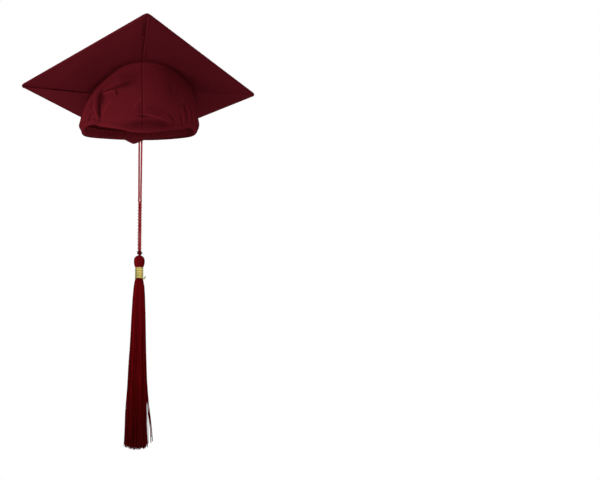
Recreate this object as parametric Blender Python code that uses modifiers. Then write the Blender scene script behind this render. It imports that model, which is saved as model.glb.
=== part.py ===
"""Graduation cap: a square cloth-covered board on an elasticated skull cap, with a corded tassel hung on its button.

Metres, +Z up, worn upright: the wearer faces -Y, so the wearer's left is +X. The origin is the middle of the
head opening. The board's corners point to the front, the back and the two sides.
"""

import math

import bmesh
import bpy
from mathutils import Vector

# Driving dimensions
BOARD_SIDE = 0.241
BOARD_CORNER_RADIUS = 0.005
BOARD_HEIGHT = 0.080  # the board's underside, above the middle of the head opening
STIFFENER_THICKNESS = 0.0016
CLOTH = 0.0006
GAP = 0.0003  # between pieces that touch

SKULL_TOP_HALF = (0.078, 0.080)  # half width and half depth where it joins the board
SKULL_TOP_CENTRE_Y = 0.005
SKULL_RIM_HALF = (0.0828, 0.0855)
SKULL_RIM_CENTRE_Y = -0.0115
RIM_DROP_BACK = 0.0425  # below the board's underside
RIM_DROP_FRONT = 0.107
BROW_POINT = 0.010  # how much further the brow dips in a point
BROW_POINT_WIDTH = 0.47  # in radians round the rim
SKULL_BULGE = 0.0025
# The soft crown falls in at each side of the stiffened brow: how far at the board, its turn and its width
FALLS = (
    (0.0207, math.radians(-55.5), math.radians(46)),
    (0.0060, math.radians(48), math.radians(24)),
)
FALL_RISE = 1.55  # it grows with this power of the height
BROW_FULLNESS = (0.0046, math.radians(4), math.radians(45))  # how far the brow stands out at the board
BROW_RISE = 3
SKULL_CLOTH = 0.0010
INTERFACING = 0.0007
HEM_HEIGHT = 0.012
WALL_COLUMNS = 28  # facets from the front seam to the back seam; they line up in every layer
ELASTIC = (0.0008, 0.008)  # thickness and width

CORD_DIAMETER = 0.0028
CORD_SPREAD = 0.0021  # from the middle to each leg, at the board's corner
TASSEL_ANGLE = math.radians(4.0)  # how far the tassel has slipped from the back corner, towards the left
HANG_RADIUS = 0.175
BEND_RADIUS = 0.007
SWING_ROOM = 0.0016  # below the swing axis, so that the hanging cords clear the bend as they swing
KNOT_DROP = 0.187  # top of the knot; this and the tassel's other heights are below the board's underside
HEAD_DROP = 0.1966
BAND_DROP = (0.2165, 0.2355)
FRINGE_END_DROP = 0.490
KNOT_RADIUS = 0.0034
HEAD_RADIUS = 0.0085
NECK_RADIUS = 0.0049
BAND_RADIUS = 0.0066
FRINGE_RADIUS = 0.0170

BUTTON_RADIUS = 0.0115
SHANK_RADIUS = 0.0012

# Heights that follow from them
PANEL_TOP = BOARD_HEIGHT + CLOTH
STIFFENER_BOTTOM = PANEL_TOP + GAP
STIFFENER_TOP = STIFFENER_BOTTOM + STIFFENER_THICKNESS
BOARD_TOP = STIFFENER_TOP + GAP + CLOTH
CORD_HEIGHT = BOARD_TOP + GAP + CORD_DIAMETER / 2
BUTTON_BOTTOM = CORD_HEIGHT + CORD_DIAMETER / 2 + 2 * GAP
SEWN_TOP = BOARD_HEIGHT - GAP  # where the skull cap's pieces meet the board
KNOT_MIDDLE_DROP = (KNOT_DROP + HEAD_DROP - GAP) / 2


def clear_scene():
    for obj in list(bpy.data.objects):
        bpy.data.objects.remove(obj)


def new_collection(name, hidden=False):
    collection = bpy.data.collections.new(name)
    bpy.context.scene.collection.children.link(collection)
    collection.hide_render = hidden
    return collection


def material(name, colour, roughness, metallic=0.0):
    made = bpy.data.materials.new(name)
    made.use_nodes = True
    shader = made.node_tree.nodes["Principled BSDF"]
    shader.inputs["Base Color"].default_value = (*colour, 1.0)
    shader.inputs["Roughness"].default_value = roughness
    shader.inputs["Metallic"].default_value = metallic
    made.diffuse_color = (*colour, 1.0)
    return made


def place(obj, finish, parent=None, smooth=True):
    """Puts the object in the cap's collection with its material, shaded smooth but for its sharp edges."""
    PARTS.objects.link(obj)
    obj.data.materials.append(finish)
    if smooth and obj.type == "MESH":
        obj.data.shade_smooth()
        obj.data.set_sharp_from_angle(angle=math.radians(35))
    obj.parent = parent
    return obj


def object_of(name, bm):
    bmesh.ops.recalc_face_normals(bm, faces=bm.faces)
    mesh = bpy.data.meshes.new(name)
    bm.to_mesh(mesh)
    bm.free()
    return bpy.data.objects.new(name, mesh)


def cutter(name, bm):
    obj = object_of(name, bm)
    obj.hide_render = True
    obj.display_type = "WIRE"
    CUTTERS.objects.link(obj)
    return obj


def boolean(obj, other, operation="DIFFERENCE"):
    modifier = obj.modifiers.new(other.name, "BOOLEAN")
    modifier.operation = operation
    modifier.object = other
    modifier.solver = "EXACT"


def box_mesh(low, high):
    bm = bmesh.new()
    bmesh.ops.create_cube(bm, size=1.0)
    for vert in bm.verts:
        vert.co = Vector([low[i] if vert.co[i] < 0 else high[i] for i in range(3)])
    return bm


def slab_mesh(side, corner, bottom, top):
    """A square slab with rounded corners, turned so that its corners point along X and Y."""
    bm = box_mesh((-side / 2, -side / 2, bottom), (side / 2, side / 2, top))
    upright = [e for e in bm.edges if abs(e.verts[0].co.z - e.verts[1].co.z) > (top - bottom) / 2]
    bmesh.ops.bevel(bm, geom=upright, offset=corner, segments=5, profile=0.5, affect="EDGES")
    turn = math.radians(45)
    for vert in bm.verts:
        x, y = vert.co.x, vert.co.y
        vert.co.x = x * math.cos(turn) - y * math.sin(turn)
        vert.co.y = x * math.sin(turn) + y * math.cos(turn)
    return bm


def cylinder_mesh(radius, bottom, top, sides=24):
    bm = bmesh.new()
    bmesh.ops.create_cone(
        bm, cap_ends=True, segments=sides, radius1=radius, radius2=radius, depth=top - bottom
    )
    bmesh.ops.translate(bm, verts=bm.verts, vec=(0, 0, (top + bottom) / 2))
    return bm


def turned(name, profile, finish, parent=None, steps=32, ring=False):
    """A body turned round Z. Its profile of (radius, height) runs down the outer side, top to bottom; a ring's
    closes on itself, and any other starts and ends on the axis."""
    mesh = bpy.data.meshes.new(name)
    edges = [(i, i + 1) for i in range(len(profile) - 1)]
    if ring:
        edges.append((len(profile) - 1, 0))
    mesh.from_pydata([(r, 0, z) for r, z in profile], edges, [])
    obj = bpy.data.objects.new(name, mesh)
    screw = obj.modifiers.new("turn", "SCREW")
    screw.steps = screw.render_steps = steps
    screw.use_merge_vertices = True
    screw.merge_threshold = 0.00001
    screw.use_smooth_shade = True
    return place(obj, finish, parent, smooth=False)


def smooth_route(points, spacing):
    """Points about that far apart on the Catmull-Rom curve through the route's own points."""
    points = [Vector(p) for p in points]
    ends = [2 * points[0] - points[1], *points, 2 * points[-1] - points[-2]]
    route = [points[0]]
    for a, b, c, d in zip(ends, ends[1:], ends[2:], ends[3:]):
        steps = max(1, round((c - b).length / spacing))
        for step in range(1, steps + 1):
            t = step / steps
            route.append(
                0.5
                * (2 * b + (c - a) * t + (2 * a - 5 * b + 4 * c - d) * t**2 + (3 * b - a - 3 * c + d) * t**3)
            )
    return route


def cord(name, route, diameter, finish, parent):
    curve = bpy.data.curves.new(name, "CURVE")
    curve.dimensions = "3D"
    curve.bevel_depth = diameter / 2
    curve.bevel_resolution = 2
    curve.use_fill_caps = True
    spline = curve.splines.new("POLY")
    spline.points.add(len(route) - 1)
    for point, place_at in zip(spline.points, route):
        point.co = (*place_at, 1.0)
    return place(bpy.data.objects.new(name, curve), finish, parent)


def empty(name, location, parent=None, turn=0.0):
    obj = bpy.data.objects.new(name, None)
    PARTS.objects.link(obj)
    obj.parent = parent
    obj.location = location
    obj.rotation_euler = (0, 0, turn)
    return obj


# The board


def make_board():
    hole = cutter("rivet_hole", cylinder_mesh(SHANK_RADIUS + GAP, BOARD_HEIGHT - 0.01, BOARD_TOP + 0.01))
    inner_side = BOARD_SIDE - 2 * (CLOTH + GAP)
    inner_corner = BOARD_CORNER_RADIUS - CLOTH - GAP

    stiffener = object_of(
        "board_stiffener", slab_mesh(inner_side, inner_corner, STIFFENER_BOTTOM, STIFFENER_TOP)
    )
    boolean(place(stiffener, CARD), hole)

    cover = object_of(
        "board_top_cover", slab_mesh(BOARD_SIDE, BOARD_CORNER_RADIUS, BOARD_HEIGHT, BOARD_TOP)
    )
    room = slab_mesh(
        inner_side + 2 * GAP, inner_corner + GAP, BOARD_HEIGHT - 0.01, STIFFENER_TOP + GAP
    )
    boolean(place(cover, BOARD_CLOTH), cutter("room_in_cover", room))
    boolean(cover, hole)

    quarters = {
        "front_left": (1, -1),
        "front_right": (-1, -1),
        "back_left": (1, 1),
        "back_right": (-1, 1),
    }
    for name, (x, y) in quarters.items():
        panel = object_of(
            "underside_panel_" + name, slab_mesh(inner_side, inner_corner, BOARD_HEIGHT, PANEL_TOP)
        )
        corners = [(0.5 * GAP * s, BOARD_SIDE * s) for s in (x, y)]
        low = (min(corners[0]), min(corners[1]), BOARD_HEIGHT - 0.01)
        high = (max(corners[0]), max(corners[1]), BOARD_TOP)
        boolean(place(panel, BOARD_CLOTH), cutter("quarter_" + name, box_mesh(low, high)), "INTERSECT")
        boolean(panel, hole)


# The skull cap


def rim_drop(turn):
    """How far the rim is below the board: turn is 0 at the brow and 90 degrees at the wearer's left."""
    forward = (1 + math.cos(turn)) / 2
    brow = math.remainder(turn, 2 * math.pi) / BROW_POINT_WIDTH
    slope = (RIM_DROP_FRONT - RIM_DROP_BACK) * forward
    return RIM_DROP_BACK + slope + BROW_POINT * math.exp(-brow * brow)


def spread_round(turn, most, middle, width):
    """An amount that is greatest at that turn and fades to each side of it."""
    away = math.remainder(turn - middle, 2 * math.pi) / width
    return most * math.exp(-away * away)


def skull_point(turn, inset, up):
    """A point of the wall, that far in from its outer face and that far up from the rim."""
    across, along = math.sin(turn), -math.cos(turn)
    height = rim_drop(turn) - GAP
    share = up / height
    half_width = SKULL_RIM_HALF[0] * (1 - share) + SKULL_TOP_HALF[0] * share
    half_depth = SKULL_RIM_HALF[1] * (1 - share) + SKULL_TOP_HALF[1] * share
    centre = SKULL_RIM_CENTRE_Y * (1 - share) + SKULL_TOP_CENTRE_Y * share
    raised = max(share, 0.0)
    fallen = sum(spread_round(turn, *fall) for fall in FALLS) * raised**FALL_RISE
    full = spread_round(turn, *BROW_FULLNESS) * raised**BROW_RISE
    out = SKULL_BULGE * math.sin(math.pi * share) - fallen + full - inset
    return Vector(
        (
            (half_width + out) * across,
            centre + (half_depth + out) * along,
            BOARD_HEIGHT - GAP - height + up,
        )
    )


def swept_round(name, start, end, section, finish, columns):
    """A closed section of (inset, up) pairs, carried round the skull cap from one turn to another.

    Every facet's diagonal rises the same way, so that one layer's facets nest in the next layer's.
    """
    bm = bmesh.new()
    rings = []
    for i in range(columns + 1):
        turn = start + (end - start) * i / columns
        rings.append([bm.verts.new(skull_point(turn, inset, up)) for inset, up in section(turn)])
    for ring, following in zip(rings, rings[1:]):
        for j in range(len(ring)):
            k = (j + 1) % len(ring)
            if ring[k].co.z > ring[j].co.z:
                bm.faces.new((ring[j], following[j], following[k]))
                bm.faces.new((ring[j], following[k], ring[k]))
            else:
                bm.faces.new((ring[j], following[j], ring[k]))
                bm.faces.new((following[j], following[k], ring[k]))
    bm.faces.new(rings[0])
    bm.faces.new(rings[-1])
    return place(object_of(name, bm), finish)


def wall_section(outer, thickness, low=0.0, rows=8):
    """From low above the rim up to the board, with one row level with the hem's top."""

    def section(turn):
        top = rim_drop(turn) - GAP
        ups = [low] + [HEM_HEIGHT + (top - HEM_HEIGHT) * j / rows for j in range(rows + 1)]
        return [(outer, up) for up in ups] + [(outer + thickness, up) for up in reversed(ups)]

    return section


def band_section(outer, thickness, low, high):
    def section(turn):
        return [(outer, low), (outer, high), (outer + thickness, high), (outer + thickness, low)]

    return section


def channel_section(outer, wall, inside, low, high):
    """A strip folded up into a channel, open at the top."""
    far = outer + 2 * wall + inside

    def section(turn):
        return [
            (outer, low),
            (outer, high),
            (outer + wall, high),
            (outer + wall, low + wall),
            (far - wall, low + wall),
            (far - wall, high),
            (far, high),
            (far, low),
        ]

    return section


def make_skull_cap():
    seam = 0.5 * GAP / SKULL_RIM_HALF[0] * 1.2
    interfacing_at = SKULL_CLOTH + GAP
    lining_at = interfacing_at + INTERFACING + GAP
    inside_lining = lining_at + CLOTH + GAP
    column = math.pi / WALL_COLUMNS
    front_end = 13 * column
    casing_start = 15 * column
    elastic_start = 14 * column
    casing_wall = 0.0005

    for side, start in (("left", seam), ("right", math.pi + seam)):
        end = start + math.pi - 2 * seam
        swept_round(
            "skull_panel_" + side, start, end, wall_section(0, SKULL_CLOTH), SKULL_CLOTH_LOOK, WALL_COLUMNS
        )
        swept_round(
            "skull_lining_" + side, start, end, wall_section(lining_at, CLOTH), LINING_LOOK, WALL_COLUMNS
        )
    swept_round(
        "brow_interfacing",
        -front_end,
        front_end,
        wall_section(interfacing_at, INTERFACING, low=0.001),
        INTERFACING_LOOK,
        26,
    )
    swept_round(
        "brow_hem_facing",
        -front_end,
        front_end,
        band_section(inside_lining, CLOTH, 0.0, HEM_HEIGHT),
        SKULL_CLOTH_LOOK,
        26,
    )
    room = ELASTIC[0] + 2 * GAP
    swept_round(
        "elastic_casing",
        casing_start,
        2 * math.pi - casing_start,
        channel_section(inside_lining, casing_wall, room, 0.0, HEM_HEIGHT),
        SKULL_CLOTH_LOOK,
        26,
    )
    elastic_at = inside_lining + casing_wall + GAP
    elastic_low = casing_wall + 2 * GAP
    swept_round(
        "elastic_band",
        elastic_start,
        2 * math.pi - elastic_start,
        band_section(elastic_at, ELASTIC[0], elastic_low, elastic_low + ELASTIC[1]),
        ELASTIC_LOOK,
        28,
    )
    disc_inset = inside_lining + GAP
    disc = cylinder_mesh(1.0, SEWN_TOP - CLOTH, SEWN_TOP, sides=64)
    for vert in disc.verts:
        turn = math.atan2(vert.co.x, -vert.co.y)
        edge = skull_point(turn, disc_inset, rim_drop(turn) - GAP)
        vert.co.x, vert.co.y = edge.x, edge.y
    crown = place(object_of("crown_lining_disc", disc), LINING_LOOK)
    crown_hole = cylinder_mesh(SHANK_RADIUS + GAP, SEWN_TOP - 0.01, SEWN_TOP + 0.01)
    boolean(crown, cutter("rivet_hole_in_lining", crown_hole))


# The button and its rivet


def make_button():
    bottom = BUTTON_BOTTOM
    radius = BUTTON_RADIUS
    shell_radius = radius - CLOTH - GAP
    shell = 0.0005
    plate = 0.0008
    dome = 0.0075  # the cover's height over its turned-in edge

    def dome_line(r, low, high, points=6):
        """From the top of a dome, on the axis, down to its edge."""
        angles = [0.5 * math.pi * i / points for i in range(points + 1)]
        return [(r * math.sin(a), low + (high - low) * math.cos(a)) for a in angles]

    edge = bottom + CLOTH + GAP
    top = bottom + dome
    outer = dome_line(radius, edge, top)
    inner = dome_line(radius - CLOTH, edge, top - CLOTH)
    turned_in = [(radius, bottom), (radius - 0.004, bottom), (radius - 0.004, bottom + CLOTH)]
    turned(
        "button_cover", outer + turned_in + [(radius - CLOTH, bottom + CLOTH)] + inner[::-1], BUTTON_LOOK
    )
    outer = dome_line(shell_radius, edge, top - CLOTH - GAP)
    inner = dome_line(shell_radius - shell, edge, top - CLOTH - GAP - shell)
    turned("button_shell", outer + inner[::-1], METAL)
    plate_radius = shell_radius - shell - GAP
    plate_top = edge + plate
    turned(
        "button_back_plate",
        [
            (plate_radius, plate_top),
            (plate_radius, edge),
            (SHANK_RADIUS + GAP, edge),
            (SHANK_RADIUS + GAP, plate_top),
        ],
        METAL,
        ring=True,
    )
    washer_top = SEWN_TOP - CLOTH - GAP
    washer = 0.0006
    head = 0.0035
    clinch = 0.0026
    rivet_top = plate_top + GAP + 0.0008
    clinch_top = washer_top - washer - GAP
    turned(
        "button_rivet",
        [
            (0, rivet_top),
            (head, rivet_top),
            (head, plate_top + GAP),
            (SHANK_RADIUS, plate_top + GAP),
            (SHANK_RADIUS, clinch_top),
            (clinch, clinch_top),
            (clinch * 0.8, clinch_top - 0.0009),
            (0, clinch_top - 0.0009),
        ],
        METAL,
    )
    turned(
        "rivet_washer",
        [
            (0.006, washer_top),
            (0.006, washer_top - washer),
            (SHANK_RADIUS + GAP, washer_top - washer),
            (SHANK_RADIUS + GAP, washer_top),
        ],
        METAL,
        ring=True,
    )


# The tassel


def below_board(drop):
    """A height given as a drop below the board's underside, measured from the swing axis."""
    return BOARD_HEIGHT - drop - (CORD_HEIGHT - BEND_RADIUS)


def make_cords(turn_axis, sway_axis, swing_axis):
    """One loop of cord, split where it turns and swings: on the board, over the corner, and hanging."""
    board_end = HANG_RADIUS - BEND_RADIUS
    half_loop = [
        (CORD_SPREAD, board_end - GAP, 0),
        (0.0023, 0.120, 0),
        (0.0029, 0.060, 0),
        (0.0042, 0.024, 0),
        (0.0060, 0.008, 0),
        (0.0050, -0.0035, 0),
    ]
    other_half = [(-x, y, z) for x, y, z in reversed(half_loop)]
    loop = smooth_route(half_loop + [(0, -0.0068, 0)] + other_half, 2.5 * CORD_DIAMETER)
    cord("tassel_loop_cord", loop, CORD_DIAMETER, CORD_LOOK, turn_axis)

    apart = (CORD_DIAMETER + GAP) / 2
    for side, sign in (("left", 1), ("right", -1)):
        bend = []
        for step in range(7):
            angle = 0.5 * math.pi * step / 6
            y = BEND_RADIUS * (math.sin(angle) - 1)
            z = BEND_RADIUS * (math.cos(angle) - 1)
            bend.append((sign * CORD_SPREAD, y, z))
        cord("cord_bend_" + side, bend, CORD_DIAMETER, CORD_LOOK, sway_axis)
        drop = [
            (sign * CORD_SPREAD, 0, -SWING_ROOM),
            (sign * CORD_SPREAD, 0, -0.015),
            (sign * 0.0018, 0, -0.060),
            (sign * apart, 0, -0.100),
            (sign * apart, 0, below_board(KNOT_DROP) + 2 * GAP),
        ]
        cord(
            "cord_drop_" + side, smooth_route(drop, 3 * CORD_DIAMETER), CORD_DIAMETER, CORD_LOOK, swing_axis
        )


def rounded(radius, middle, half_height, points=4):
    """A profile round the outside of a ball flattened to that half height, without its two ends."""
    angles = [math.pi * i / (points * 2) for i in range(1, points * 2)]
    return [(radius * math.sin(a), middle + half_height * math.cos(a)) for a in angles]


def make_tassel_body(tilt_axis):
    """Heights here are measured from the tilt axis, through the middle of the knot."""

    def level(drop):
        return KNOT_MIDDLE_DROP - drop

    head_top = level(HEAD_DROP)
    half_height = -(head_top + GAP)
    knot = [(0, half_height), *rounded(KNOT_RADIUS, 0, half_height), (0, -half_height)]
    turned("loop_knot", knot, CORD_LOOK, tilt_axis, steps=20)

    band_top, band_bottom = level(BAND_DROP[0]), level(BAND_DROP[1])
    neck_middle = (band_top + band_bottom) / 2
    shoulder = band_top - GAP
    head = [
        (0, head_top),
        (HEAD_RADIUS * 0.55, head_top - 0.0012),
        (HEAD_RADIUS * 0.88, head_top - 0.0045),
        (HEAD_RADIUS, head_top - 0.0095),
        (HEAD_RADIUS * 0.93, head_top - 0.0145),
        (HEAD_RADIUS * 0.72, shoulder + 0.0012),
        (NECK_RADIUS, shoulder),
        (NECK_RADIUS, neck_middle + GAP),
        (0, neck_middle + GAP),
    ]
    turned("tassel_head", head, YARN_LOOK, tilt_axis)
    end = level(FRINGE_END_DROP)
    fringe = [
        (0, neck_middle),
        (NECK_RADIUS, neck_middle),
        (NECK_RADIUS, band_bottom - GAP),
        (HEAD_RADIUS * 0.90, band_bottom - 0.007),
        (HEAD_RADIUS * 1.03, band_bottom - 0.022),
        (HEAD_RADIUS * 1.12, band_bottom - 0.050),
        (FRINGE_RADIUS * 0.76, band_bottom - 0.113),
        (FRINGE_RADIUS * 0.92, band_bottom - 0.185),
        (FRINGE_RADIUS, end + 0.015),
        (FRINGE_RADIUS * 0.94, end),
        (0, end),
    ]
    turned("tassel_fringe", fringe, YARN_LOOK, tilt_axis)

    tie = (NECK_RADIUS + GAP, NECK_RADIUS + GAP + 0.0005)
    inset = 0.0012  # the red tie is a little shorter than the gold band over it
    ring_profile("neck_tie", tie, band_top - inset, band_bottom + inset, YARN_LOOK, tilt_axis)
    band = (tie[1] + GAP, BAND_RADIUS)
    ring_profile("gold_band", band, band_top, band_bottom, GOLD_LOOK, tilt_axis)
    tail = [
        (BAND_RADIUS + 0.0010, 0, band_bottom + 0.0008),
        (BAND_RADIUS + 0.0024, 0, band_bottom + 0.0004),
        (BAND_RADIUS + 0.0039, 0, band_bottom + 0.0018),
        (BAND_RADIUS + 0.0048, 0, band_bottom + 0.0048),
    ]
    cord("gold_band_tail", smooth_route(tail, 0.002), 0.0011, GOLD_LOOK, tilt_axis)


def ring_profile(name, radii, top, bottom, finish, parent):
    inner, outer = radii
    turned(name, [(outer, top), (outer, bottom), (inner, bottom), (inner, top)], finish, parent, ring=True)


def make_tassel():
    """Each empty stands on a joint's axis, with its Y pointing away from the button."""
    turn_axis = empty("tassel_turn_axis", (0, 0, CORD_HEIGHT), turn=-TASSEL_ANGLE)
    sway_axis = empty("tassel_sway_axis", (0, HANG_RADIUS, 0), turn_axis)
    swing_axis = empty("tassel_swing_axis", (0, 0, -BEND_RADIUS), sway_axis)
    tilt_axis = empty("tassel_tilt_axis", (0, 0, below_board(KNOT_MIDDLE_DROP)), swing_axis)
    make_cords(turn_axis, sway_axis, swing_axis)
    make_tassel_body(tilt_axis)


clear_scene()
PARTS = new_collection("graduation_cap")
CUTTERS = new_collection("cutters", hidden=True)
BOARD_CLOTH = material("board_cloth", (0.075, 0.006, 0.009), 0.85)
SKULL_CLOTH_LOOK = material("skull_cloth", (0.120, 0.010, 0.015), 0.80)
LINING_LOOK = material("lining_cloth", (0.050, 0.004, 0.006), 0.85)
INTERFACING_LOOK = material("interfacing", (0.55, 0.52, 0.48), 0.90)
ELASTIC_LOOK = material("elastic", (0.60, 0.58, 0.55), 0.70)
CARD = material("board_card", (0.30, 0.22, 0.14), 0.90)
METAL = material("tinned_steel", (0.60, 0.60, 0.58), 0.35, 1.0)
BUTTON_LOOK = material("button_cloth", (0.090, 0.007, 0.011), 0.80)
CORD_LOOK = material("cord_red", (0.300, 0.004, 0.010), 0.50)
YARN_LOOK = material("yarn_red", (0.200, 0.002, 0.006), 0.55)
GOLD_LOOK = material("gold_thread", (0.62, 0.47, 0.14), 0.35, 0.8)
make_board()
make_skull_cap()
make_button()
make_tassel()
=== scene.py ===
import math
import random

import bmesh
import bpy
import numpy as np
from mathutils import Matrix, Vector


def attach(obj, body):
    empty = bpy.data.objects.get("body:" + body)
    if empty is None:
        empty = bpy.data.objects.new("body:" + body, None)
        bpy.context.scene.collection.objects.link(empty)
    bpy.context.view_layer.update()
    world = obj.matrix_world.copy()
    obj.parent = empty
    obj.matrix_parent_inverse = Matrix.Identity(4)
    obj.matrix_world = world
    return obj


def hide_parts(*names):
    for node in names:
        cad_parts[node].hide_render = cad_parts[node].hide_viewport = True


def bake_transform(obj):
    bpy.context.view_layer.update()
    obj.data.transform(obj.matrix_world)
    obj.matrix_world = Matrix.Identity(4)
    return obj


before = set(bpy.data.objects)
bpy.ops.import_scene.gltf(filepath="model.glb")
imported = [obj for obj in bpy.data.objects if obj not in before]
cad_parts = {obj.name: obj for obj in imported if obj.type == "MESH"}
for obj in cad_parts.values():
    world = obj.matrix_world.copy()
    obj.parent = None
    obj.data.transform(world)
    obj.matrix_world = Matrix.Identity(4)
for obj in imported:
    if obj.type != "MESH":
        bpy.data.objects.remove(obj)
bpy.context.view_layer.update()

# The CAD model's own sizes, in metres
BOARD_SIDE = 0.241
BOARD_CORNER = 0.005
BOARD_UNDER = 0.080
BOARD_TOP = 0.0834
CLOTH = 0.0006
GAP = 0.0003
SKULL_TOP_HALF = (0.078, 0.080)
SKULL_TOP_CENTRE_Y = 0.005
SKULL_RIM_HALF = (0.0828, 0.0855)
SKULL_RIM_CENTRE_Y = -0.0115
SKULL_BULGE = 0.0025
INNER_FACE = 0.0032  # how far the skull cap's inside is in from its outside
RIVET_HOLE = 0.0016
RIM_DROP_BACK = 0.0425
RIM_SLOPE = 0.0645
BROW_POINT = (0.010, 0.47)  # how much deeper the brow is at its point, and that point's width in radians
# How deep the soft cloth falls in beside the brow, where, and how widely; then the brow's own fullness. Here
# and in the tables below, turns are in degrees from the brow: above 0 on the wearer's left, below 0 on the right
FALLS = [(0.0207, -55.5, 46), (0.0060, 48, 24)]
FALL_RISE = 1.55
FORWARD = (0.0046, 4, 45)
HEM_SKEW = 0.0056
CORD_OVER_PLIES = 0.0032
CORD_HEIGHT = 0.0851
CORD_SPREAD = 0.0021
TASSEL_ANGLE = math.radians(4.0)
HANG_RADIUS = 0.175
BEND_RADIUS = 0.007
SWING_HEIGHT = CORD_HEIGHT - BEND_RADIUS
KNOT_TOP = -0.107
KNOT_MIDDLE = -0.11165
HEAD_TOP = -0.1166
BAND_TOP = -0.1365
BAND_BOTTOM = -0.1555
FRINGE_END = -0.410
BUTTON_BOTTOM = 0.0871
BUTTON_RADIUS = 0.0115
BUTTON_HEIGHT = 0.0075

# How the wall of the skull cap is laid out, in metres round the rim for each radian
WALL_RADIUS = 0.083
HEM_HEIGHT = 0.012
FRONT_END = math.radians(84)


def smooth(value):
    """0 below 0, 1 above 1, and a soft step between."""
    value = np.clip(value, 0.0, 1.0)
    return value * value * (3 - 2 * value)


def bump_at(value, centre, width):
    """1 where value is centre, fading to each side over about that width."""
    return np.exp(-(((value - centre) / width) ** 2))


def bumps(value, table):
    """The sum of the bumps in the table: the height, centre and width of each."""
    return sum(high * bump_at(value, centre, width) for high, centre, width in table)


def polar(away, turn, height):
    """Points that far from the z axis, at that turn round it and that height."""
    return np.stack(np.broadcast_arrays(away * np.cos(turn), away * np.sin(turn), height), axis=-1)


def circle(count):
    """That many turns, evenly round a circle."""
    return np.linspace(0, 2 * math.pi, count, endpoint=False)


def new_object(name, data):
    """A new object in the scene with that data."""
    made = bpy.data.objects.new(name, data)
    bpy.context.scene.collection.objects.link(made)
    return made


# The camera


def make_camera():
    """From in front of the cap and below it, a little to the wearer's right."""
    azimuth, pitch, roll = math.radians(3.06), math.radians(17.95), math.radians(0.6)
    data = bpy.data.cameras.new("camera")
    data.sensor_width = 36.0
    data.lens = 36.9
    data.shift_x = 0.26833
    data.clip_start = 0.01
    level = math.cos(pitch)
    ahead = Vector((math.sin(azimuth) * level, math.cos(azimuth) * level, math.sin(pitch)))
    right = Vector((math.cos(azimuth), -math.sin(azimuth), 0))
    up = right.cross(ahead)
    across = right * math.cos(roll) + up * math.sin(roll)
    upright = up * math.cos(roll) - right * math.sin(roll)
    turned = Matrix((across, upright, -ahead)).transposed()
    camera = new_object("camera", data)
    camera.matrix_world = Matrix.Translation((-0.0396, -0.7792, -0.3992)) @ turned.to_4x4()
    bpy.context.scene.camera = camera


make_camera()


# Materials


class Finish:
    """A material on the Principled shader, with short calls for the nodes that feed it."""

    def __init__(self, name, **fixed):
        self.material = bpy.data.materials.new(name)
        self.material.use_nodes = True
        self.tree = self.material.node_tree
        self.shader = self.tree.nodes["Principled BSDF"]
        for socket, value in fixed.items():
            self.shader.inputs[socket.replace("_", " ")].default_value = value
        self.place = self.node("ShaderNodeTexCoord").outputs["Object"]

    def node(self, kind, **settings):
        made = self.tree.nodes.new(kind)
        for key, value in settings.items():
            setattr(made, key, value)
        return made

    def feed(self, socket, value):
        if isinstance(value, bpy.types.NodeSocket):
            self.tree.links.new(value, socket)
        else:
            socket.default_value = value

    def math(self, operation, *values):
        made = self.node("ShaderNodeMath", operation=operation)
        for socket, value in zip(made.inputs, values):
            self.feed(socket, value)
        return made.outputs[0]

    def axes(self):
        return self.node_out("ShaderNodeSeparateXYZ", self.place)

    def node_out(self, kind, *values):
        made = self.node(kind)
        for socket, value in zip(made.inputs, values):
            self.feed(socket, value)
        return made.outputs

    def stretched(self, scale):
        """The place in the object, scaled by that much along each axis."""
        made = self.node("ShaderNodeVectorMath", operation="MULTIPLY")
        self.feed(made.inputs[0], self.place)
        made.inputs[1].default_value = scale
        return made.outputs[0]

    def noise(self, scale, detail=2.0, vector=None, roughness=0.5):
        made = self.node("ShaderNodeTexNoise")
        self.feed(made.inputs["Vector"], vector or self.place)
        made.inputs["Scale"].default_value = scale
        made.inputs["Detail"].default_value = detail
        made.inputs["Roughness"].default_value = roughness
        return made.outputs["Fac"]

    def shade(self):
        """The shade stored at the mesh's points."""
        return self.node("ShaderNodeAttribute", attribute_name="shade").outputs["Fac"]

    def shaded(self, tone, least):
        """The stored shade with a tone added, held above a least value."""
        return self.math("MAXIMUM", self.math("ADD", self.shade(), tone), least)

    def around(self, value, amount):
        """1 where value is a half, and amount more or less at its ends."""
        return self.math("MULTIPLY_ADD", self.math("SUBTRACT", value, 0.5), 2 * amount, 1.0)

    def product(self, *values):
        total = values[0]
        for value in values[1:]:
            total = self.math("MULTIPLY", total, value)
        return total

    def scaled(self, colour, factor):
        made = self.node("ShaderNodeVectorMath", operation="SCALE")
        self.feed(made.inputs[0], colour)
        self.feed(made.inputs["Scale"], factor)
        return made.outputs[0]

    def mixed(self, factor, first, second):
        made = self.node("ShaderNodeMix", data_type="RGBA")
        self.feed(made.inputs[0], factor)
        for socket, colour in ((made.inputs[6], first), (made.inputs[7], second)):
            self.feed(socket, colour if isinstance(colour, bpy.types.NodeSocket) else (*colour, 1.0))
        return made.outputs[2]

    def colour(self, value):
        self.feed(self.shader.inputs["Base Color"], value)

    def clamped(self, value):
        return self.math("MINIMUM", self.math("MAXIMUM", value, 0.0), 1.0)

    def roughness(self, value, spread, least):
        self.feed(self.shader.inputs["Roughness"], self.math("MULTIPLY_ADD", value, spread, least))

    def bump(self, height, distance, strength=1.0):
        made = self.node("ShaderNodeBump")
        made.inputs["Strength"].default_value = strength
        made.inputs["Distance"].default_value = distance
        self.feed(made.inputs["Height"], height)
        if self.shader.inputs["Normal"].is_linked:
            self.feed(made.inputs["Normal"], self.shader.inputs["Normal"].links[0].from_socket)
        self.feed(self.shader.inputs["Normal"], made.outputs["Normal"])


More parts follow.
